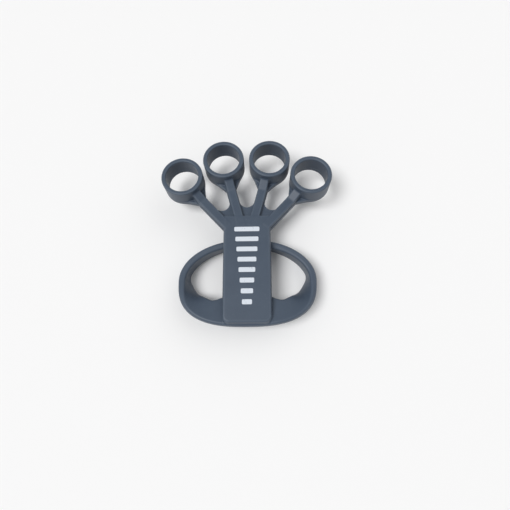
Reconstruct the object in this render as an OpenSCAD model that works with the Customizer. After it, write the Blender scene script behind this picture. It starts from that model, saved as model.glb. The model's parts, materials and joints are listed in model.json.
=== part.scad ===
// Finger exerciser: a one-material silicone hand trainer.
// A palm plate carries four stretchy arms, each ending in a finger ring,
// and a hand loop that hangs behind the plate's lower end.
// Origin: centre of the footprint, on the surface that the hand loop stands on.
// +X right, +Y towards the finger rings, +Z out of the plate's front face.

/* [Palm plate] */
// Width of the palm plate
plate_w = 30; // [27:1:32]
// Length of the palm plate, from its lower end to the line where the arms start
plate_l = 70; // [66:1:74]
// Whole thickness of the plate and of the arms
plate_t = 7; // [6.5:0.5:8]
// Thickness of the back layer that the plate, web and arms share
back_t = 4; // [3:0.5:4.5]
// Radius of the pad's lower corners
pad_corner_r = 3; // [2:0.5:5]
// Distance that the pad stops short of the back layer's lower end
pad_setback = 1.5; // [0:0.5:3]

/* [Finger rings] */
// Bore that a finger goes through
ring_bore = 21; // [20:0.5:22]
// Wall thickness of a ring
ring_wall = 2.8; // [2.2:0.1:3]
// Height of a ring
ring_h = 14; // [12:0.5:15]
// Rounding of a ring's rims
rim_r = 0.8; // [0.4:0.1:0.9]
// Distance of the two inner ring centres from the middle line
inner_x = 15; // [14.8:0.1:17]
// Distance of the two inner ring centres above the plate
inner_y = 37; // [36:0.5:40]
// Distance of the two outer ring centres from the middle line
outer_x = 41.5; // [41:0.5:44]
// Distance of the two outer ring centres above the plate
outer_y = 25; // [23:0.5:26]

/* [Arms] */
// Width of an arm
arm_w = 6.6; // [6:0.1:7]
// Distance from the middle line at which an inner arm leaves the plate
inner_root_x = 5.3; // [5:0.1:6]
// Distance from the middle line at which an outer arm's axis starts
outer_root_x = 12; // [11:0.5:12.5]
// Depth below the plate's top line at which an outer arm's axis starts
outer_root_drop = 7; // [6:0.5:8]
// Height of an arm's rib where it meets the ring wall
rib_rise = 10; // [8.5:0.5:10.5]
// Radius of the scalloped edges of the web between the arms
scallop_r = 4.9; // [4.5:0.1:5.5]

/* [Hand loop] */
// Outside width of the hand loop
loop_w = 88; // [84:1:94]
// Outside length of the hand loop
loop_l = 56.5; // [54:0.5:62]
// Width of the strap that the loop is made of
band_w = 14; // [12:0.5:15]
// Width added to the strap right at the plate, like a fillet in the corner
root_fillet = 4.2; // [0:0.1:5]
// Thickness of the strap
band_t = 4.5; // [4:0.1:5]
// Angle at which the strap leaves the plate, 0 is flat and 90 is upright
root_lean = 12; // [0:1:20]
// How far past upright the strap leans where it passes behind the plate
back_lean = 10; // [0:1:14]
// Squareness of the loop's oval beside the plate, 2 is an ellipse
root_power = 2.6; // [2:0.1:2.8]
// Squareness of the loop's oval behind the plate
back_power = 2.1; // [2:0.1:2.5]

/* [Movement] */
// Gap between parts that move against each other
joint_gap = 0.3; // [0.2:0.05:0.4]
// Largest bend of an arm either way, used to clear its hinge seat
bend_max = 45; // [30:1:50]
// Distance from a ring's centre to the line where its arm bends
bend_dist = 19.5; // [19:0.1:20]
// Distance from a ring's centre to the line where its arm stretches
stretch_dist = 30; // [29:0.5:30.5]

/* [Hidden] */
silicone = "#5b6672";
print_white = "#e9edf0";
smooth = 96;
corner_steps = 8;

ring_r = ring_bore / 2;
ring_or = ring_r + ring_wall;
half_l = (plate_l + inner_y + ring_or) / 2;
top_line = plate_l - half_l;
loop_clearance = joint_gap + 0.1;
back_z = band_w + loop_clearance;
front_z = back_z + plate_t;
split_z = back_z + back_t;

// Back-layer relief at the foot of each ring's bore
relief_h = 3;
relief_r = ring_r + 0.4;

// Each finger's arm: where its axis starts, and where its ring's centre is
inner_root = [inner_root_x, top_line];
outer_root = [outer_root_x, top_line - outer_root_drop];
inner_ring = [inner_x, top_line + inner_y];
outer_ring = [outer_x, top_line + outer_y];

function mirrored(point, side) = [side * point.x, point.y];
function arm_turn(root, ring) = -atan2(ring.x - root.x, ring.y - root.y);

// The teardrop flange runs tangent to the ring and closes on the arm's edges
flange_angle = 37;
flange_dist = ring_or / sin(flange_angle) - arm_w / 2 / tan(flange_angle);

// Puts a shape drawn along +Y from a ring's centre outwards onto one arm:
// local origin at the ring's centre, the arm running down local -Y.
module on_arm(root, ring) {
    translate([ring.x, ring.y, back_z])
        rotate([0, 0, arm_turn(root, ring)])
            children();
}

// A straight strip of an arm between two distances from the ring's centre
module arm_strip(from_dist, to_dist, low, high, width) {
    translate([-width / 2, -from_dist, low])
        cube([width, from_dist - to_dist, high - low]);
}

// An arm starts a little inside the plate, so that its square end doesn't show
root_overlap = 3;
function root_dist(root, ring) = norm(ring - root) + root_overlap;

function unit(v) = v / norm(v);
function left_of(v) = [-v.y, v.x];

// Points along an arc between two angles
function arc(centre, r, from, to) =
    [for (i = [0 : corner_steps])
        let (a = from + (to - from) * i / corner_steps)
        centre + r * [cos(a), sin(a)]];

// Plate outline with rounded lower corners, stopping short of the lower end by a setback
module plate_outline(setback, r) {
    corner_x = plate_w / 2 - r;
    corner_y = -half_l + setback + r;
    polygon(concat(
        [[plate_w / 2, top_line], [-plate_w / 2, top_line]],
        arc([-corner_x, corner_y], r, 180, 270),
        arc([corner_x, corner_y], r, 270, 360)));
}

// Outline of an arm from inside the plate to a given distance from the ring's centre
module arm_footprint(root, ring, to_dist) {
    translate(ring)
        rotate(arm_turn(root, ring))
            translate([-arm_w / 2, -root_dist(root, ring)])
                square([arm_w, root_dist(root, ring) - to_dist]);
}

// Everything past an arm's stretch line, wide enough to take the web's thin cusps
module past_stretch(root, ring) {
    cusp = 3;
    translate(ring)
        rotate(arm_turn(root, ring))
            translate([-arm_w / 2 - cusp, -stretch_dist])
                square([arm_w + 2 * cusp, stretch_dist]);
}

// The four arms' strips, each removed past its stretch line once their crotches are scalloped
module web_outline() {
    web_corner_r = 1;
    difference() {
        offset(r = -scallop_r, $fn = smooth)
            offset(delta = scallop_r) {
                plate_outline(0, web_corner_r);
                for (side = [-1, 1]) {
                    arm_footprint(mirrored(inner_root, side), mirrored(inner_ring, side), flange_dist);
                    arm_footprint(mirrored(outer_root, side), mirrored(outer_ring, side), flange_dist);
                }
            }
        for (side = [-1, 1]) {
            past_stretch(mirrored(inner_root, side), mirrored(inner_ring, side));
            past_stretch(mirrored(outer_root, side), mirrored(outer_ring, side));
        }
    }
}

// Back layer of the plate with the fan of webs between the arms
module palm_web() {
    color(silicone)
        translate([0, 0, back_z])
            linear_extrude(back_t)
                web_outline();
}

// Raised pad, with the start of each arm's rib
module palm_pad() {
    color(silicone)
        translate([0, 0, split_z])
            linear_extrude(plate_t - back_t) {
                plate_outline(pad_setback, pad_corner_r);
                for (side = [-1, 1]) {
                    arm_footprint(mirrored(inner_root, side), mirrored(inner_ring, side), stretch_dist);
                    arm_footprint(mirrored(outer_root, side), mirrored(outer_ring, side), stretch_dist);
                }
            }
}

// Printed scale on the pad: bars that grow towards the fingers
module level_mark() {
    bars = 8;
    first_w = 6;
    growth = 1.4;
    bar_l = 3;
    pitch = 6.6;
    end_gap = 13;
    print_t = 0.2;
    color(print_white)
        for (i = [0 : bars - 1])
            translate([-(first_w + i * growth) / 2, -half_l + end_gap + i * pitch, front_z])
                cube([first_w + i * growth, bar_l, print_t]);
}

// Stretching part of an arm, from the web to the seat where it bends
module finger_arm(root, ring) {
    seat_r = plate_t / 2 / cos(bend_max / 2) + joint_gap;
    color(silicone)
        on_arm(root, ring)
            difference() {
                arm_strip(stretch_dist - joint_gap, bend_dist, 0, plate_t, arm_w);
                bend_cylinder(seat_r, arm_w + 2);
            }
}

// A cylinder across the arm on its bending line
module bend_cylinder(radius, length) {
    translate([-length / 2, -bend_dist, plate_t / 2])
        rotate([0, 90, 0])
            cylinder(r = radius, h = length, $fn = smooth);
}

// Teardrop flange and rising rib that carry a ring at the end of its arm
module finger_gusset(root, ring) {
    tangent = [ring_or * cos(flange_angle), -ring_or * sin(flange_angle)];
    color(silicone)
        on_arm(root, ring)
            difference() {
                union() {
                    linear_extrude(back_t)
                        polygon([
                            [0, 0], tangent,
                            [arm_w / 2, -flange_dist], [-arm_w / 2, -flange_dist],
                            [-tangent.x, tangent.y]]);
                    arm_strip(bend_dist, 0, 0, plate_t, arm_w);
                    bend_cylinder(plate_t / 2, arm_w);
                    rising_rib();
                }
                translate([0, 0, -1])
                    cylinder(r = ring_or, h = ring_h + 2, $fn = smooth);
            }
}

// The rib's slope from the arm's thickness up the ring's wall
module rising_rib() {
    translate([-arm_w / 2, 0, 0])
        rotate([90, 0, 90])
            linear_extrude(arm_w)
                polygon([
                    [-bend_dist, plate_t - 1], [-bend_dist, plate_t],
                    [-ring_or + 1, rib_rise], [-ring_or + 1, plate_t - 1]]);
}

// Half section of a ring: a tube wall with rounded rims and a relief at its foot
module ring_section() {
    low = rim_r;
    high = ring_h - rim_r;
    difference() {
        union() {
            translate([ring_r, low])
                square([ring_wall, high - low]);
            translate([ring_r + rim_r, 0])
                square([ring_wall - 2 * rim_r, ring_h]);
            for (x = [ring_r + rim_r, ring_or - rim_r])
                for (y = [low, high])
                    translate([x, y])
                        circle(rim_r, $fn = smooth);
        }
        square([relief_r, relief_h]);
    }
}

module finger_ring(ring) {
    color(silicone)
        translate([ring.x, ring.y, back_z])
            rotate_extrude($fn = smooth)
                ring_section();
}

// The strap's path: the oval's outer edge at a given angle around it
function signed_pow(v, p) = sign(v) * pow(abs(v), p);
function loop_edge(a) =
    let (power = 2 / (a < 0 ? root_power : back_power))
    [loop_w / 2 * signed_pow(cos(a), power),
        -half_l + loop_l / 2 * (1 + signed_pow(sin(a), power))];
function loop_heading(a) = unit(loop_edge(a + 0.5) - loop_edge(a - 0.5));

// The strap turns from nearly flat beside the plate to upright past the loop's widest points,
// and past upright behind the plate, with its lower edge in one plane there
root_x = plate_w / 2;
root_angle = -acos(pow(root_x / (loop_w / 2), root_power / 2));
split_angle = 0;
upright_angle = 20;
fillet_turn = 18;
turn_delay = 1.6;
function ease(t) = t <= 0 ? 0 : t >= 1 ? 1 : t * t * (3 - 2 * t);
function to_right(a) = min(a, 180 - a);
function past_root(a) = max(to_right(a) - root_angle, 0);
function turned(a) = ease(pow(past_root(a) / (upright_angle - root_angle), turn_delay));
function lean(a) =
    root_lean + (90 - root_lean) * turned(a) + back_lean * ease(to_right(a) / 90);
function strap_w(a) =
    lean(a) > 90
        ? (band_w + band_t * cos(lean(a))) / sin(lean(a))
        : band_w + root_fillet * (1 - ease(past_root(a) / fillet_turn));

// One cross-section of the strap: a rectangle with clipped corners
function strap_corners(w) =
    let (c = 1.2)
    [[c, 0], [w - c, 0], [w, c], [w, band_t - c],
        [w - c, band_t], [c, band_t], [0, band_t - c], [0, c]];
function strap_ring(a, side) =
    let (
        edge = loop_edge(a),
        heading = loop_heading(a),
        inward = left_of(heading),
        tilt = lean(a),
        across = [inward.x * cos(tilt), inward.y * cos(tilt), -sin(tilt)],
        through = [inward.x * sin(tilt), inward.y * sin(tilt), cos(tilt)],
        start = [edge.x, edge.y, back_z - loop_clearance * turned(a)])
    [for (p = strap_corners(strap_w(a)))
        let (q = start + across * p.x + through * p.y)
        [side * q.x, q.y, q.z]];

// A closed strap surface through evenly spaced sections from one angle to another
module strap(from_angle, to_angle, steps, side) {
    sides = len(strap_corners(band_w));
    points = [for (i = [0 : steps])
        each strap_ring(from_angle + (to_angle - from_angle) * i / steps, side)];
    walls = [for (i = [0 : steps - 1], j = [0 : sides - 1])
        let (
            a = i * sides + j,
            b = i * sides + (j + 1) % sides,
            quad = [a, b, b + sides, a + sides])
        each [[quad[0], quad[1], quad[2]], [quad[0], quad[2], quad[3]]]];
    first = [for (j = [sides - 1 : -1 : 0]) j];
    last = [for (j = [0 : sides - 1]) steps * sides + j];
    faces = concat(walls, [first, last]);
    polyhedron(points, side > 0 ? faces : [for (f = faces) [for (k = [len(f) - 1 : -1 : 0]) f[k]]]);
}

// Twisting stretch of strap beside the plate, cut off flat at the plate's wall
module loop_root(side) {
    clear_w = plate_w + 2 * joint_gap;
    color(silicone)
        difference() {
            strap(root_angle - 3, split_angle, 24, side);
            translate([-clear_w / 2, -half_l - band_w, -band_w])
                cube([clear_w, 3 * band_w, 4 * band_w]);
        }
}

// Upright rest of the strap, passing free behind the plate
module loop_band() {
    color(silicone)
        strap(split_angle, 180 - split_angle, 60, 1);
}

palm_web();
palm_pad();
level_mark();
finger_arm(mirrored(outer_root, -1), mirrored(outer_ring, -1));  // index_arm
finger_gusset(mirrored(outer_root, -1), mirrored(outer_ring, -1));  // index_gusset
finger_ring(mirrored(outer_ring, -1));  // index_ring
finger_arm(mirrored(inner_root, -1), mirrored(inner_ring, -1));  // middle_arm
finger_gusset(mirrored(inner_root, -1), mirrored(inner_ring, -1));  // middle_gusset
finger_ring(mirrored(inner_ring, -1));  // middle_ring
finger_arm(inner_root, inner_ring);  // fourth_arm
finger_gusset(inner_root, inner_ring);  // fourth_gusset
finger_ring(inner_ring);  // fourth_ring
finger_arm(outer_root, outer_ring);  // little_arm
finger_gusset(outer_root, outer_ring);  // little_gusset
finger_ring(outer_ring);  // little_ring
loop_root(-1);  // loop_root_left
loop_root(1);  // loop_root_right
loop_band();
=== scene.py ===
"""Finger exerciser in dark slate silicone: one soft moulding, cut where its arms and strap flex.

The moulding is described as a distance field in millimetres, in the frame's own axes, and turned
into one smooth mesh. The hand loop's strap is swept separately, and joins the plate's sides.
"""

import json
import math

import bmesh
import bpy
import numpy as np
from mathutils import Matrix, Vector


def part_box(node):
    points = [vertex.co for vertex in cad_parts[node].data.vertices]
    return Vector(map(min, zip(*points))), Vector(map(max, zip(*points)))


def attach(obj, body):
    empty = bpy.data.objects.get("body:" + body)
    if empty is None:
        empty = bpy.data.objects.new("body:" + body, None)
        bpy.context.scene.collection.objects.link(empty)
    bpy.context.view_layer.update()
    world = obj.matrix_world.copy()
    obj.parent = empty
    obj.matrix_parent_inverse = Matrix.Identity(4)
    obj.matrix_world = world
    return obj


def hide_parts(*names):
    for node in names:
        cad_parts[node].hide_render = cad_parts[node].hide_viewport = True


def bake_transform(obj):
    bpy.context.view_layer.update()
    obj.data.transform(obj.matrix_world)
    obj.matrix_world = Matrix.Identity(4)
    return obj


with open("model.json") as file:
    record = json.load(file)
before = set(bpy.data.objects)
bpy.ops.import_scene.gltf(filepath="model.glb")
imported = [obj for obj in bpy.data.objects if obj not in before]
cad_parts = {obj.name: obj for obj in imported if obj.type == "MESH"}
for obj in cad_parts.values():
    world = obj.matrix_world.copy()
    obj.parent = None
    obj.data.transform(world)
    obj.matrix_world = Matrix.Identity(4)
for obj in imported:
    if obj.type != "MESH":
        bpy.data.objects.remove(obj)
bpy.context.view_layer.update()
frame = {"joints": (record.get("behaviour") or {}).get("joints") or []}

MM = 0.001
FINGERS = ("index", "middle", "fourth", "little")


# ---------------------------------------------------------------- dimensions, in millimetres

def box_mm(node):
    """A CAD node's lowest and highest corners, in millimetres."""
    low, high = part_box(node)
    return np.array(low) / MM, np.array(high) / MM


WEB_LOW = box_mm("palm_web")[0]
PAD_LOW, PAD_HIGH = box_mm("palm_pad")
RING_LOW, RING_HIGH = box_mm("index_ring")
BAND_HIGH = box_mm("loop_band")[1]

# Plate: a back layer, and raised parts that reach a little down into it
BACK_Z = WEB_LOW[2]
SPLIT_Z = PAD_LOW[2]
FRONT_Z = PAD_HIGH[2]
END_Y = WEB_LOW[1]
PAD_SETBACK = PAD_LOW[1] - END_Y
PLATE_L = 70.0
PLATE_HALF_W = 15.0
TOP_Y = END_Y + PLATE_L
PAD_CORNER_R = 3.8
PAD_GAP = 0.15
RAISED_OVERLAP = 1.0
PAD_DRAFT = 0.17

# Finger rings
RING_OR = (RING_HIGH[0] - RING_LOW[0]) / 2
RING_WALL = 2.8
RING_R = RING_OR - RING_WALL
RING_TOP_Z = RING_HIGH[2]
RELIEF_R = RING_R + 0.4
RELIEF_H = 3.0
RIM_ROUND = 0.9

# Arms, with distances taken from a ring's centre along its arm
ARM_HALF_W = 3.3
RIB_HALF_W = 2.8
ROOT_DEPTH = 7.5
FLANGE_DIST = 16.6
KINK_DIST = 19.5
RIB_RISE_Z = BACK_Z + 10.0
SCALLOP_R = 4.9

# Cuts across each arm, with distances taken from its ring's centre
STRETCH_CUT = 30.0
BEND_CUT = 23.0
BEND_END = 14.0

# Hand loop: its outline from above, and its strap's section
LOOP_HALF_W = BAND_HIGH[0]
LOOP_L = 56.5
ROOT_POWER = 2.6
BACK_POWER = 2.1
STRAP_T = 4.5
STRAP_W = 14.0
STRAP_ROUND = 1.6
STRAP_CLEARANCE = 0.4
ROOT_FILLET = 4.2

# How the strap turns from flat at its roots to upright. All but TURN_DELAY are in degrees
ROOT_ANGLE = -math.degrees(math.acos((PLATE_HALF_W / LOOP_HALF_W) ** (ROOT_POWER / 2)))
ROOT_LEAN = 12.0
BACK_LEAN = 10.0
FILLET_TURN = 20.0
TURN_DELAY = 1.7
UPRIGHT_BEARING = 14.0
HEADING_SPAN = 9.0

# Printed level bars on the pad
BARS = 8
BAR_L = 3.0
BAR_PITCH = 6.6
FIRST_BAR_W = 6.0
BAR_GROWTH = 1.4
BAR_CORNER_R = 0.7
INK_BURY = 0.1
INK_T = 0.12

GRID_STEP = 0.5


def unit(v):
    """A vector brought to length 1."""
    return np.asarray(v, float) / np.linalg.norm(v)


def left_of(v):
    """A flat vector turned a quarter turn to its left."""
    return np.array([-v[1], v[0]])


class Finger:
    """One finger's ring centre and the line of its arm."""

    def __init__(self, name):
        self.name = name
        low, high = box_mm(name + "_ring")
        self.centre = (low[:2] + high[:2]) / 2
        slide = next(j for j in frame["joints"] if j["name"] == name + "_stretch")
        self.along = unit(slide["axis"][:2])
        back = (self.centre[1] - (TOP_Y - ROOT_DEPTH)) / self.along[1]
        self.start = self.centre - self.along * back

    def local(self, x, y):
        """Distance back from the ring's centre along the arm, and distance to its left."""
        dx = x - self.centre[0]
        dy = y - self.centre[1]
        side = left_of(self.along)
        return -(dx * self.along[0] + dy * self.along[1]), dx * side[0] + dy * side[1]

    def point(self, dist, z):
        """The point on the arm's line at a distance from the ring's centre, in metres."""
        xy = self.centre - self.along * dist
        return (xy[0] * MM, xy[1] * MM, z * MM)


fingers = [Finger(name) for name in FINGERS]


# ---------------------------------------------------------------- distance fields

def smooth_min(a, b, k):
    """Union of two solids, with a fillet of about width k where they meet."""
    h = np.maximum(k - np.abs(a - b), 0) / k
    return np.minimum(a, b) - h * h * k / 4


def round_max(a, b, r):
    """Intersection of two solids, with its edge rounded to radius r."""
    a = a + r
    b = b + r
    return np.hypot(np.maximum(a, 0), np.maximum(b, 0)) + np.minimum(np.maximum(a, b), 0) - r


def slab(flat, z, low, high, r_low, r_high):
    """A flat outline's field given thickness from low to high, with rounded edges."""
    return np.maximum(round_max(flat, low - z, r_low), round_max(flat, z - high, r_high))


def rounded_rect(x, y, cx, cy, half_x, half_y, r):
    """Signed distance to a rectangle with rounded corners."""
    dx = np.abs(x - cx) - half_x + r
    dy = np.abs(y - cy) - half_y + r
    return np.hypot(np.maximum(dx, 0), np.maximum(dy, 0)) + np.minimum(np.maximum(dx, dy), 0) - r


def polygon(x, y, corners):
    """Signed distance to a simple polygon."""
    best = np.full(np.broadcast(x, y).shape, np.inf)
    inside = np.zeros(best.shape, bool)
    for i, (ax, ay) in enumerate(corners):
        bx, by = corners[i - 1]
        ex, ey = bx - ax, by - ay
        wx, wy = x - ax, y - ay
        t = np.clip((wx * ex + wy * ey) / (ex * ex + ey * ey), 0, 1)
        best = np.minimum(best, np.hypot(wx - ex * t, wy - ey * t))
        above = (ay > y) != (by > y)
        with np.errstate(divide="ignore", invalid="ignore"):
            crossing = x < (bx - ax) * (y - ay) / (by - ay if by != ay else np.inf) + ax
        inside ^= above & crossing
    return np.where(inside, -best, best)


def plate_outline(x, y, inset, end_inset, corner_r):
    """The plate's outline, square at the top line and rounded at its lower corners."""
    reach = TOP_Y - END_Y + corner_r
    rect = rounded_rect(
        x, y, 0, END_Y + end_inset + reach / 2, PLATE_HALF_W - inset, reach / 2, corner_r)
    return np.maximum(rect, y - TOP_Y)


def teardrop(s, t):
    """Ring flange: a round end that runs by straight tangents into the arm."""
    big_r = RING_OR - 0.5
    slope = (big_r - ARM_HALF_W) / FLANGE_DIST
    cosine = math.sqrt(1 - slope * slope)
    side = np.abs(t)
    k = -slope * side + cosine * s
    flank = cosine * side + slope * s - big_r
    big = np.hypot(side, s) - big_r
    small = np.hypot(side, s - FLANGE_DIST) - ARM_HALF_W
    return np.where(k < 0, big, np.where(k > cosine * FLANGE_DIST, small, flank))


def scallop(x, y, a, b):
    """Web that fills the crotch between two neighbouring arms up to a round scallop."""
    edge_a = a.start - left_of(a.along) * ARM_HALF_W
    edge_b = b.start + left_of(b.along) * ARM_HALF_W
    turn = a.along[0] * b.along[1] - a.along[1] * b.along[0]
    gap = edge_b - edge_a
    apex = edge_a + a.along * ((gap[0] * b.along[1] - gap[1] * b.along[0]) / turn)
    half_angle = math.acos(float(a.along @ b.along)) / 2
    reach = SCALLOP_R / math.tan(half_angle)
    middle = apex + unit(a.along + b.along) * SCALLOP_R / math.sin(half_angle)
    tip_a = apex + a.along * reach
    tip_b = apex + b.along * reach
    inner_a = tip_a + left_of(a.along) * ARM_HALF_W / 2
    inner_b = tip_b - left_of(b.along) * ARM_HALF_W / 2
    web = polygon(x, y, [a.start, inner_a, tip_a, tip_b, inner_b, b.start])
    return np.maximum(web, SCALLOP_R - np.hypot(x - middle[0], y - middle[1]))


def arm_outline(finger, x, y, half_w, end_dist):
    """A straight strip along the arm, from inside the plate to a distance from the ring."""
    s, t = finger.local(x, y)
    length = np.linalg.norm(finger.centre - finger.start)
    return np.maximum(np.abs(t) - half_w, np.maximum(s - length, end_dist - s))


def back_outline(x, y):
    """The back layer's outline: plate, arms, ring flanges and the webs between the arms."""
    flat = plate_outline(x, y, 0, PAD_SETBACK, PAD_CORNER_R)
    for finger in fingers:
        s, t = finger.local(x, y)
        flat = np.minimum(flat, arm_outline(finger, x, y, ARM_HALF_W, 0))
        flat = np.minimum(flat, teardrop(s, t))
    for a, b in zip(fingers, fingers[1:]):
        flat = np.minimum(flat, scallop(x, y, a, b))
    return flat


def rising_rib(finger, x, y, z):
    """The rib's slope from the arm's thickness up to the ring's wall."""
    s, t = finger.local(x, y)
    rise = (RIB_RISE_Z - FRONT_Z) / (KINK_DIST - RING_OR)
    top = (z - FRONT_Z - (KINK_DIST - s) * rise) / math.hypot(1, rise)
    rib = round_max(np.abs(t) - RIB_HALF_W, top, 0.7)
    ends = np.maximum(s - KINK_DIST - 1.5, RING_R - s)
    return np.maximum(rib, np.maximum(ends, SPLIT_Z - RAISED_OVERLAP - z))


def ring_radius(finger, x, y):
    """Distance from a ring's axis."""
    return np.hypot(x - finger.centre[0], y - finger.centre[1])


def ring_tube(finger, x, y, z):
    """The finger ring: a tube with rounded rims."""
    return rounded_rect(
        ring_radius(finger, x, y), z, (RING_R + RING_OR) / 2, (BACK_Z + RING_TOP_Z) / 2,
        RING_WALL / 2, (RING_TOP_Z - BACK_Z) / 2, RIM_ROUND)


def saddle(x, y, z):
    """The strap carried across behind the plate's lower end, in one sweep from root to root."""
    lean = math.radians(ROOT_LEAN)
    across = np.minimum(np.abs(x) / LOOP_HALF_W, 1)
    edge_y = END_Y + LOOP_L / 2 * (1 - (1 - across ** ROOT_POWER) ** (1 / ROOT_POWER))
    depth = y - edge_y
    p = depth * math.cos(lean) - (z - BACK_Z) * math.sin(lean)
    q = depth * math.sin(lean) + (z - BACK_Z) * math.cos(lean)
    half_w = (STRAP_W + ROOT_FILLET) / 2
    strap = rounded_rect(p, q, half_w, STRAP_T / 2, half_w, STRAP_T / 2, STRAP_ROUND)
    return np.maximum(strap, np.abs(x) - PLATE_HALF_W)


def pad(x, y, z):
    """The raised pad, its walls drafted so that the front face is the smallest."""
    rise = z - SPLIT_Z
    inset = PAD_GAP + PAD_DRAFT * rise
    end_inset = PAD_SETBACK + PAD_GAP + 2 * PAD_DRAFT * rise
    flat = plate_outline(x, y, inset, end_inset, PAD_CORNER_R)
    return slab(flat, z, SPLIT_Z - RAISED_OVERLAP, FRONT_Z, 0.2, 0.8)


def moulding(x, y, z):
    """The whole moulding except the strap."""
    body = slab(back_outline(x, y), z, BACK_Z, SPLIT_Z, 0.7, 0.35)
    body = smooth_min(body, pad(x, y, z), 0.3)
    body = smooth_min(body, saddle(x, y, z), 0.5)
    for finger in fingers:
        rib = arm_outline(finger, x, y, RIB_HALF_W, RING_R)
        rib = slab(rib, z, SPLIT_Z - RAISED_OVERLAP, FRONT_Z, 0.2, 0.7)
        body = smooth_min(body, rib, 0.4)
        body = smooth_min(body, rising_rib(finger, x, y, z), 0.5)
        body = smooth_min(body, ring_tube(finger, x, y, z), 0.9)
    for finger in fingers:
        rho = ring_radius(finger, x, y)
        relief = np.maximum(rho - RELIEF_R, z - BACK_Z - RELIEF_H)
        body = np.maximum(body, np.maximum(RING_R - rho, -relief))
    return body


# ---------------------------------------------------------------- field to mesh

def surface_net(field, low, high, step):
    """Points and quads of a field's zero surface on a regular grid."""
    axes = [np.arange(a, b + step, step) for a, b in zip(low, high)]
    shape = tuple(len(a) for a in axes)
    grid = np.meshgrid(*axes, indexing="ij", sparse=True)
    values = np.broadcast_to(field(*grid), shape).astype(np.float32)
    inside = values < 0
    cells = tuple(n - 1 for n in shape)

    def corner(array, offset):
        return array[tuple(slice(o, o + n) for o, n in zip(offset, cells))]

    corners = [(i, j, k) for i in (0, 1) for j in (0, 1) for k in (0, 1)]
    count = sum(corner(inside, c).astype(np.int8) for c in corners)
    active = (count > 0) & (count < 8)
    where = np.argwhere(active)
    total = np.zeros((len(where), 3))
    crossings = np.zeros(len(where))
    for a in corners:
        for axis in range(3):
            if a[axis]:
                continue
            b = tuple(1 if n == axis else v for n, v in enumerate(a))
            va = corner(values, a)[active]
            vb = corner(values, b)[active]
            crossed = (va < 0) != (vb < 0)
            t = np.where(crossed, va / np.where(crossed, va - vb, 1), 0)
            offset = np.tile(np.array(a, float), (len(where), 1))
            offset[:, axis] += t
            total[crossed] += offset[crossed]
            crossings += crossed
    origin = np.array([a[0] for a in axes])
    points = origin + (where + total / crossings[:, None]) * step

    index = np.full(cells, -1, np.int64)
    index[active] = np.arange(len(where))
    quads = []
    for axis in range(3):
        u, v = (axis + 1) % 3, (axis + 2) % 3
        ahead = [slice(None)] * 3
        behind = [slice(None)] * 3
        ahead[axis] = slice(1, None)
        behind[axis] = slice(None, -1)
        first = inside[tuple(behind)]
        second = inside[tuple(ahead)]
        edges = np.argwhere(first != second)
        edges = edges[(edges[:, u] > 0) & (edges[:, v] > 0)]
        flip = first[tuple(edges.T)]
        ring = []
        for du, dv in ((1, 1), (0, 1), (0, 0), (1, 0)):
            cell = edges.copy()
            cell[:, u] -= du
            cell[:, v] -= dv
            ring.append(index[tuple(cell.T)])
        quad = np.stack(ring, 1)
        quad[~flip] = quad[~flip][:, ::-1]
        quads.append(quad)
    return points, np.concatenate(quads)


def gradient(field, points, reach=0.04):
    """The field's slope at each point, which points out of the solid."""
    slopes = []
    for axis in range(3):
        shift = np.zeros(3)
        shift[axis] = reach
        ahead = field(*(points + shift).T)
        behind = field(*(points - shift).T)
        slopes.append((ahead - behind) / (2 * reach))
    return np.stack(slopes, 1)


def settle(field, points, rounds=3):
    """Moves points onto the field's zero surface."""
    for _ in range(rounds):
        slope = gradient(field, points)
        size = np.maximum((slope * slope).sum(1), 0.3)
        step = field(*points.T) / size
        points = points - slope * np.clip(step, -0.4, 0.4)[:, None]
    return points


def relax(field, points, quads, rounds=3):
    """Evens out the quads along the surface without moving the surface."""
    pairs = np.concatenate([quads[:, [i, (i + 1) % 4]] for i in range(4)])
    for _ in range(rounds):
        total = np.zeros_like(points)
        number = np.zeros(len(points))
        np.add.at(total, pairs[:, 0], points[pairs[:, 1]])
        np.add.at(total, pairs[:, 1], points[pairs[:, 0]])
        np.add.at(number, pairs[:, 0], 1)
        np.add.at(number, pairs[:, 1], 1)
        move = total / number[:, None] - points
        normal = gradient(field, points)
        normal /= np.maximum(np.linalg.norm(normal, axis=1), 1e-6)[:, None]
        move -= normal * (move * normal).sum(1)[:, None]
        points = settle(field, points + move * 0.5, 1)
    return points


def mesh_object(name, points, faces):
    """A smooth-shaded object from points in millimetres."""
    mesh = bpy.data.meshes.new(name)
    mesh.from_pydata((np.asarray(points) * MM).tolist(), [], [list(map(int, f)) for f in faces])
    mesh.update()
    piece = bpy.data.objects.new(name, mesh)
    bpy.context.scene.collection.objects.link(piece)
    mesh.shade_smooth()
    return piece


def set_normals(mesh, normals):
    """Gives a mesh exact normals, so that shading runs on across the cuts between pieces."""
    normals = normals / np.maximum(np.linalg.norm(normals, axis=1), 1e-9)[:, None]
    mesh.normals_split_custom_set_from_vertices(normals.tolist())


def mesh_points(mesh):
    """A mesh's points, in millimetres."""
    flat = np.empty(len(mesh.vertices) * 3)
    mesh.vertices.foreach_get("co", flat)
    return flat.reshape(-1, 3) / MM


def build_moulding():
    """The moulding's points and quads."""
    margin = 1.25
    half_x = max(abs(finger.centre[0]) for finger in fingers) + RING_OR
    top_y = max(finger.centre[1] for finger in fingers) + RING_OR
    low = [-half_x - margin, END_Y - margin, BACK_Z - 5 - GRID_STEP / 2]
    high = [half_x + margin, top_y + margin, RING_TOP_Z + margin]
    points, quads = surface_net(moulding, low, high, GRID_STEP)
    points = settle(moulding, points, 3)
    points = relax(moulding, points, quads, 4)
    return settle(moulding, points, 3), quads


# ---------------------------------------------------------------- cutting into pieces

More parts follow.
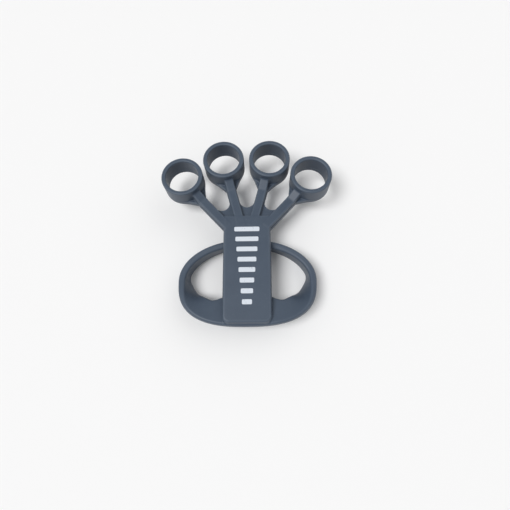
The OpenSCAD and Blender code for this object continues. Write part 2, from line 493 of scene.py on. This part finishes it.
def cut_planes(mesh):
    """Cuts the moulding across each arm, without parting it yet."""
    for finger in fingers:
        for dist in (STRETCH_CUT, BEND_CUT):
            near = []
            for face in mesh.faces:
                c = face.calc_center_median() / MM
                s, t = finger.local(c.x, c.y)
                if abs(s - dist) < 2 and abs(t) < 6.5:
                    near.append(face)
            corners = {v for f in near for v in f.verts}
            edges = {e for f in near for e in f.edges}
            bmesh.ops.bisect_plane(
                mesh, geom=[*corners, *edges, *near], dist=1e-7,
                plane_co=Vector(finger.point(dist, 0)), plane_no=Vector((*finger.along, 0)))


def piece_of(x, y):
    """The name of the piece that a point of the moulding belongs to."""
    places = []
    for finger in fingers:
        s, t = finger.local(x, y)
        ring = math.hypot(s, t) - RING_OR
        arm = max(abs(t) - ARM_HALF_W, -s)
        places.append((min(ring, arm), s, finger.name))
    s, name = min(places)[1:]
    if s < BEND_CUT:
        return name + "_finger_ring"
    if s < STRETCH_CUT:
        return name + "_stretch_arm"
    return "palm_plate"


def close_cuts(mesh):
    """Fills each open cut with one flat face."""
    rim = [e for e in mesh.edges if len(e.link_faces) == 1]
    bmesh.ops.holes_fill(mesh, edges=rim, sides=0)
    bmesh.ops.recalc_face_normals(mesh, faces=mesh.faces)


def split_moulding(points, quads):
    """The moulding's named pieces, each a closed mesh."""
    whole = mesh_object("moulding", points, quads)
    mesh = bmesh.new()
    mesh.from_mesh(whole.data)
    cut_planes(mesh)
    owners = {}
    for face in mesh.faces:
        c = face.calc_center_median() / MM
        owners.setdefault(piece_of(c.x, c.y), set()).add(face.index)
    bpy.data.objects.remove(whole)
    pieces = {}
    for name, keep in owners.items():
        part = mesh.copy()
        part.faces.ensure_lookup_table()
        drop = [f for f in part.faces if f.index not in keep]
        bmesh.ops.delete(part, geom=drop, context="FACES")
        close_cuts(part)
        data = bpy.data.meshes.new(name)
        part.to_mesh(data)
        part.free()
        set_normals(data, gradient(moulding, mesh_points(data)))
        piece = bpy.data.objects.new(name, data)
        bpy.context.scene.collection.objects.link(piece)
        pieces[name] = piece
    mesh.free()
    return pieces


# ---------------------------------------------------------------- strap

def ease(t):
    """A smooth start and stop between 0 and 1."""
    t = min(max(t, 0.0), 1.0)
    return t * t * (3 - 2 * t)


def signed_power(value, power):
    """A power that keeps the value's sign."""
    return math.copysign(abs(value) ** power, value)


def loop_edge(angle):
    """The hand loop's outer edge seen from above, at an angle round it."""
    a = math.radians(angle)
    power = 2 / (ROOT_POWER if angle < 0 else BACK_POWER)
    x = LOOP_HALF_W * signed_power(math.cos(a), power)
    y = END_Y + LOOP_L / 2 * (1 + signed_power(math.sin(a), power))
    return np.array([x, y])


def to_right(angle):
    """The matching angle on the loop's right side."""
    return min(angle, 180 - angle)


def bearing(angle):
    """The direction of a point of the strap from the loop's middle, folded onto the right side."""
    x, y = loop_edge(to_right(angle))
    return math.degrees(math.atan2(y - END_Y - LOOP_L / 2, x))


def past_root(angle):
    """How far a point of the strap lies past the strap's root, in degrees of bearing."""
    return max(bearing(angle) - bearing(ROOT_ANGLE), 0.0)


def strap_turn(angle):
    """How far the strap has turned from flat, 0, to upright, 1."""
    turned = past_root(angle) / (UPRIGHT_BEARING - bearing(ROOT_ANGLE))
    return ease(turned ** TURN_DELAY)


def strap_lean(angle):
    """The strap's lean from flat, in degrees; past 90, its lower edge stands further out."""
    extra = BACK_LEAN * ease(bearing(angle) / 90)
    return ROOT_LEAN + (90 - ROOT_LEAN) * strap_turn(angle) + extra


def strap_width(angle):
    """The strap's width: wider at its root, and set to keep one height wherever it leans out."""
    lean = math.radians(strap_lean(angle))
    if strap_lean(angle) > 90:
        return (STRAP_W + STRAP_T * math.cos(lean)) / math.sin(lean)
    return STRAP_W + ROOT_FILLET * (1 - ease(past_root(angle) / FILLET_TURN))


def rounded_outline(low_x, low_y, high_x, high_y, r, arc):
    """Points round a rectangle whose corners are arcs of the given number of steps."""
    corners = (
        (high_x - r, low_y + r, -90),
        (high_x - r, high_y - r, 0),
        (low_x + r, high_y - r, 90),
        (low_x + r, low_y + r, 180))
    outline = []
    for cx, cy, start in corners:
        for i in range(arc + 1):
            a = math.radians(start + 90 * i / arc)
            outline.append((cx + r * math.cos(a), cy + r * math.sin(a)))
    return outline


def strap_outline(width):
    """Rounded cross-section of the strap: distance across it, and through it."""
    return rounded_outline(0, 0, width, STRAP_T, STRAP_ROUND, 6)


def strap_section(angle, side):
    """The strap's cross-section at an angle round the loop, on the side with the given sign."""
    edge = loop_edge(angle)
    heading = unit(loop_edge(angle + HEADING_SPAN) - loop_edge(angle - HEADING_SPAN))
    inward = left_of(heading)
    lean = math.radians(strap_lean(angle))
    across = np.array([*(inward * math.cos(lean)), -math.sin(lean)])
    through = np.array([*(inward * math.sin(lean)), math.cos(lean)])
    start = np.array([*edge, BACK_Z - STRAP_CLEARANCE * strap_turn(angle)])
    section = [start + across * p + through * q for p, q in strap_outline(strap_width(angle))]
    return [(side * p[0], p[1], p[2]) for p in section]


def strap_piece(name, from_angle, to_angle, steps, side=1):
    """A closed length of strap between two angles round the loop."""
    angles = [from_angle + (to_angle - from_angle) * i / steps for i in range(steps + 1)]
    sections = [strap_section(angle, side) for angle in angles]
    points = [point for section in sections for point in section]
    around = len(sections[0])
    faces = []
    for i in range(steps):
        here = i * around
        ahead = here + around
        for j in range(around):
            k = (j + 1) % around
            faces.append([here + j, here + k, ahead + k, ahead + j])
    faces.append(list(range(around))[::-1])
    faces.append([steps * around + j for j in range(around)])
    piece = mesh_object(name, points, faces)
    mesh = bmesh.new()
    mesh.from_mesh(piece.data)
    bmesh.ops.recalc_face_normals(mesh, faces=mesh.faces)
    mesh.to_mesh(piece.data)
    mesh.free()
    set_normals(piece.data, strap_normals(angles, side))
    return piece


def strap_normals(angles, side):
    """Outward normals at the strap's points, worked out from neighbouring sections."""
    normals = []
    for angle in angles:
        here = np.array(strap_section(angle, side))
        ahead = np.array(strap_section(angle + 0.4, side))
        behind = np.array(strap_section(angle - 0.4, side))
        around = np.roll(here, -1, axis=0) - np.roll(here, 1, axis=0)
        normal = np.cross(ahead - behind, around)
        outward = (normal * (here - here.mean(axis=0))).sum(axis=1)
        normals.append(normal * np.sign(outward)[:, None])
    return np.concatenate(normals)


# ---------------------------------------------------------------- print on the pad

def level_bars():
    """Printed bars that lie just proud of the pad, one at each bar of the CAD mark."""
    low_y = box_mm("level_mark")[0][1]
    points = []
    faces = []
    for i in range(BARS):
        half_w = (FIRST_BAR_W + i * BAR_GROWTH) / 2
        y = low_y + i * BAR_PITCH
        outline = rounded_outline(-half_w, y, half_w, y + BAR_L, BAR_CORNER_R, 5)
        around = len(outline)
        under = [len(points) + j for j in range(around)]
        over = [j + around for j in under]
        for z in (FRONT_Z - INK_BURY, FRONT_Z + INK_T):
            points += [(px, py, z) for px, py in outline]
        faces.append(under[::-1])
        faces.append(over)
        for j in range(around):
            faces.append([under[j - 1], under[j], over[j], over[j - 1]])
    piece = mesh_object("level_print", points, faces)
    for face in piece.data.polygons:
        face.use_smooth = False
    return piece


# ---------------------------------------------------------------- materials

def new_material(name):
    """A material with its nodes, its links and its main shader."""
    material = bpy.data.materials.new(name)
    material.use_nodes = True
    nodes = material.node_tree.nodes
    return material, nodes, material.node_tree.links, nodes["Principled BSDF"]


def noise(nodes, links, place, scale, detail=4.0, roughness=0.55):
    """An even cloud of values from 0 to 1."""
    node = nodes.new("ShaderNodeTexNoise")
    node.inputs["Scale"].default_value = scale
    node.inputs["Detail"].default_value = detail
    node.inputs["Roughness"].default_value = roughness
    links.new(place, node.inputs["Vector"])
    return node.outputs["Fac"]


def ramp(nodes, links, source, stops):
    """A colour ramp from (position, colour) stops."""
    node = nodes.new("ShaderNodeValToRGB")
    for place, colour in stops[2:]:
        node.color_ramp.elements.new(place)
    for element, (place, colour) in zip(node.color_ramp.elements, stops):
        element.position = place
        element.color = (*colour, 1)
    links.new(source, node.inputs["Fac"])
    return node.outputs["Color"]


def grey(value):
    return (value, value, value)


def mix(nodes, links, mask, under, over):
    """A colour laid over another where the mask is bright."""
    node = nodes.new("ShaderNodeMixRGB")
    node.inputs["Color2"].default_value = (*over, 1)
    links.new(mask, node.inputs["Fac"])
    links.new(under, node.inputs["Color1"])
    return node.outputs["Color"]


def bump(nodes, links, height, strength, distance, under=None):
    """A bumpy surface, laid over another one if it is given."""
    node = nodes.new("ShaderNodeBump")
    node.inputs["Strength"].default_value = strength
    node.inputs["Distance"].default_value = distance
    links.new(height, node.inputs["Height"])
    if under is not None:
        links.new(under, node.inputs["Normal"])
    return node.outputs["Normal"]


def silicone_material():
    """Matte moulded silicone: fine grain, a soft dusty bloom, and paler edges that are partly wear
    and partly a painted highlight.
    """
    material, nodes, links, shader = new_material("slate_silicone")
    place = nodes.new("ShaderNodeTexCoord").outputs["Object"]
    cloud = noise(nodes, links, place, 55.0, 5.0)
    base = ramp(nodes, links, cloud, [(0.3, (0.046, 0.067, 0.101)), (0.72, (0.056, 0.080, 0.117))])

    dust = noise(nodes, links, place, 900.0, 2.0)
    dust_mask = ramp(nodes, links, dust, [(0.66, grey(0.0)), (0.8, grey(0.16))])
    dusty = mix(nodes, links, dust_mask, base, (0.24, 0.27, 0.31))

    # Convex edges are painted paler: partly edge wear, partly a painted highlight that stands in
    # for light catching the edges.
    edge = nodes.new("ShaderNodeNewGeometry").outputs["Pointiness"]
    edge_wear_highlight_mask = ramp(nodes, links, edge, [(0.502, grey(0.0)), (0.57, grey(0.6))])
    worn_and_highlit = mix(nodes, links, edge_wear_highlight_mask, dusty, (0.13, 0.165, 0.21))
    links.new(worn_and_highlit, shader.inputs["Base Color"])

    rough = ramp(nodes, links, cloud, [(0.25, grey(0.42)), (0.8, grey(0.54))])
    links.new(rough, shader.inputs["Roughness"])
    shader.inputs["Specular IOR Level"].default_value = 0.45
    shader.inputs["Sheen Weight"].default_value = 0.06
    shader.inputs["Sheen Roughness"].default_value = 0.45

    grain = noise(nodes, links, place, 3200.0, 3.0, 0.6)
    swell = noise(nodes, links, place, 160.0, 3.0)
    fine = bump(nodes, links, grain, 0.25, 0.00006)
    links.new(bump(nodes, links, swell, 0.35, 0.00022, fine), shader.inputs["Normal"])
    return material


def ink_material():
    """Pad-printed white ink, a little thin and chipped."""
    material, nodes, links, shader = new_material("white_print")
    place = nodes.new("ShaderNodeTexCoord").outputs["Object"]
    thin = noise(nodes, links, place, 420.0, 5.0, 0.7)
    colour = ramp(nodes, links, thin, [(0.28, (0.32, 0.36, 0.42)), (0.4, (0.66, 0.71, 0.78))])
    links.new(colour, shader.inputs["Base Color"])
    gloss = ramp(nodes, links, thin, [(0.3, grey(0.6)), (0.7, grey(0.42))])
    links.new(gloss, shader.inputs["Roughness"])
    grain = noise(nodes, links, place, 2400.0, 3.0)
    links.new(bump(nodes, links, grain, 0.2, 0.00005), shader.inputs["Normal"])
    return material


def floor_material():
    """A plain, nearly white floor."""
    material, _, _, shader = new_material("pale_floor")
    shader.inputs["Base Color"].default_value = (0.9, 0.9, 0.9, 1)
    shader.inputs["Roughness"].default_value = 0.7
    shader.inputs["Specular IOR Level"].default_value = 0.1
    return material


# ---------------------------------------------------------------- build the pieces

silicone = silicone_material()

moulding_points, moulding_quads = build_moulding()
pieces = split_moulding(moulding_points, moulding_quads)

for finger in fingers:
    arm = pieces[finger.name + "_stretch_arm"]
    ring = pieces[finger.name + "_finger_ring"]
    mid_z = (BACK_Z + FRONT_Z) / 2
    finger.point(STRETCH_CUT, mid_z)
    finger.point(BEND_CUT, mid_z)
    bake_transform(arm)
    finger.point(BEND_CUT, mid_z)
    finger.point(BEND_END, mid_z)
    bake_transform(ring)
    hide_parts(finger.name + "_arm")
    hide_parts(finger.name + "_gusset", finger.name + "_ring")
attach(pieces["palm_plate"], "palm")
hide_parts("palm_web", "palm_pad")

root_start = ROOT_ANGLE - 3
for side, where in ((-1, "left"), (1, "right")):
    root = strap_piece("strap_root_" + where, root_start, 0, 90, side)
    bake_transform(root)
    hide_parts("loop_root_" + where)
    pieces["strap_root_" + where] = root
band = strap_piece("strap_band", 0, 180, 220)
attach(band, "hand_loop")
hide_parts("loop_band")
pieces["strap_band"] = band

for piece in pieces.values():
    piece.data.materials.clear()
    piece.data.materials.append(silicone)

ink = level_bars()
ink.data.materials.append(ink_material())
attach(ink, "palm")
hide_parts("level_mark")


# ---------------------------------------------------------------- stage, lights and camera

def add_floor():
    """A wide floor at the height the object stands on."""
    reach = 3.0
    corners = [(-reach, -reach, 0), (reach, -reach, 0), (reach, reach, 0), (-reach, reach, 0)]
    mesh = bpy.data.meshes.new("floor")
    mesh.from_pydata(corners, [], [(0, 1, 2, 3)])
    floor = bpy.data.objects.new("floor", mesh)
    bpy.context.scene.collection.objects.link(floor)
    floor.data.materials.append(floor_material())


def add_sun(name, direction, spread, strength):
    """A broad even light from a direction, so that the floor is lit alike everywhere."""
    data = bpy.data.lights.new(name, "SUN")
    data.angle = math.radians(spread)
    data.energy = strength
    light = bpy.data.objects.new(name, data)
    light.rotation_euler = (-Vector(direction)).to_track_quat("-Z", "Y").to_euler()
    bpy.context.scene.collection.objects.link(light)


def add_world():
    """Even white light from all round."""
    world = bpy.data.worlds.new("studio")
    world.use_nodes = True
    background = world.node_tree.nodes["Background"]
    background.inputs["Color"].default_value = (1.0, 1.0, 1.0, 1)
    background.inputs["Strength"].default_value = 0.4
    bpy.context.scene.world = world


def add_camera():
    """Close above the object, looking steeply down from its lower end."""
    target = Vector((0.005, (TOP_Y - 26.5) * MM, FRONT_Z * MM))
    distance = 0.2288
    elevation = math.radians(72.8)
    azimuth = math.radians(-3.2)
    roll = math.radians(-3.8)
    ahead = Vector((math.sin(azimuth) * math.cos(elevation),
                    math.cos(azimuth) * math.cos(elevation), -math.sin(elevation)))
    right = Vector((math.cos(azimuth), -math.sin(azimuth), 0))
    up = right.cross(ahead)
    turned_right = right * math.cos(roll) + up * math.sin(roll)
    turned_up = up * math.cos(roll) - right * math.sin(roll)
    data = bpy.data.cameras.new("camera")
    data.lens = 26.2
    data.sensor_width = 36
    data.clip_start = 0.01
    camera = bpy.data.objects.new("camera", data)
    rotation = Matrix((turned_right, turned_up, -ahead)).transposed()
    camera.matrix_world = Matrix.Translation(target - ahead * distance) @ rotation.to_4x4()
    bpy.context.scene.collection.objects.link(camera)
    bpy.context.scene.camera = camera


bpy.context.scene.view_settings.view_transform = "Standard"
add_floor()
add_world()
add_sun("key", (-0.45, -0.2, 1), 28, 1.95)
add_sun("fill", (0.7, 0.5, 0.9), 60, 0.4)
add_camera()
